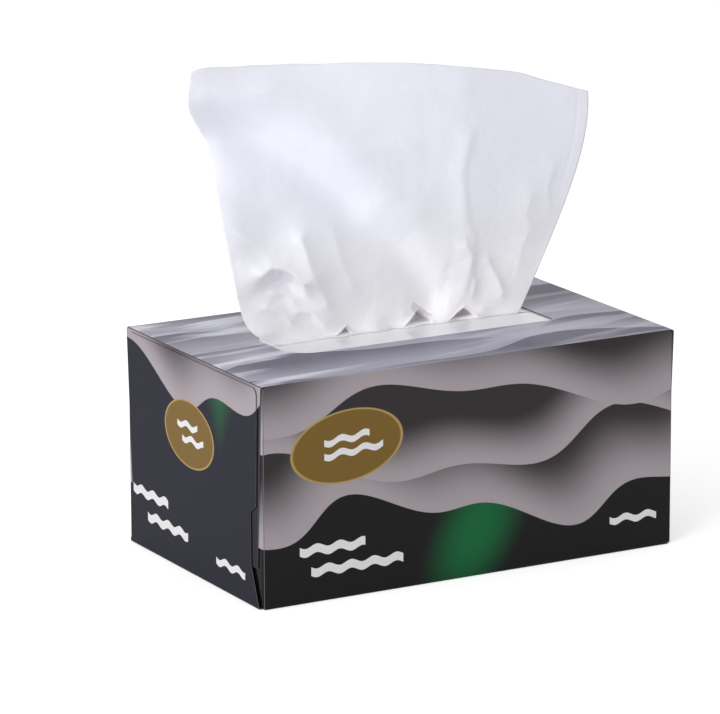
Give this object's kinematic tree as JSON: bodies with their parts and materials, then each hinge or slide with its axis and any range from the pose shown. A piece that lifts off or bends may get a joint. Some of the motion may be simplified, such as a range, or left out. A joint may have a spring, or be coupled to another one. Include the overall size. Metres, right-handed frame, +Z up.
{
  "type": "tissue box",
  "caption": "Cardboard pop-up tissue box with a film window in its top, a clip of folded tissues inside and one tissue standing in the slit.",
  "frame": {"origin": "on the ground under the middle of the carton", "axes": "+Z up through the window, +X along the carton's long side, the front panel facing -Y"},
  "size_m": [0.1884, 0.114, 0.2024],
  "materials": {
    "coated_board": "printed coated carton board, satin gloss, dark with grey wave bands",
    "clear_film": "thin clear film",
    "tissue_clip": "soft white tissue, folded edges",
    "tissue_sheet": "soft white two-ply tissue"
  },
  "bodies": {
    "root": {"carton": "coated_board", "window_film": "clear_film", "tissue_stack": "tissue_clip", "pop_up_tissue": "tissue_sheet"}
  },
  "joints": []
}
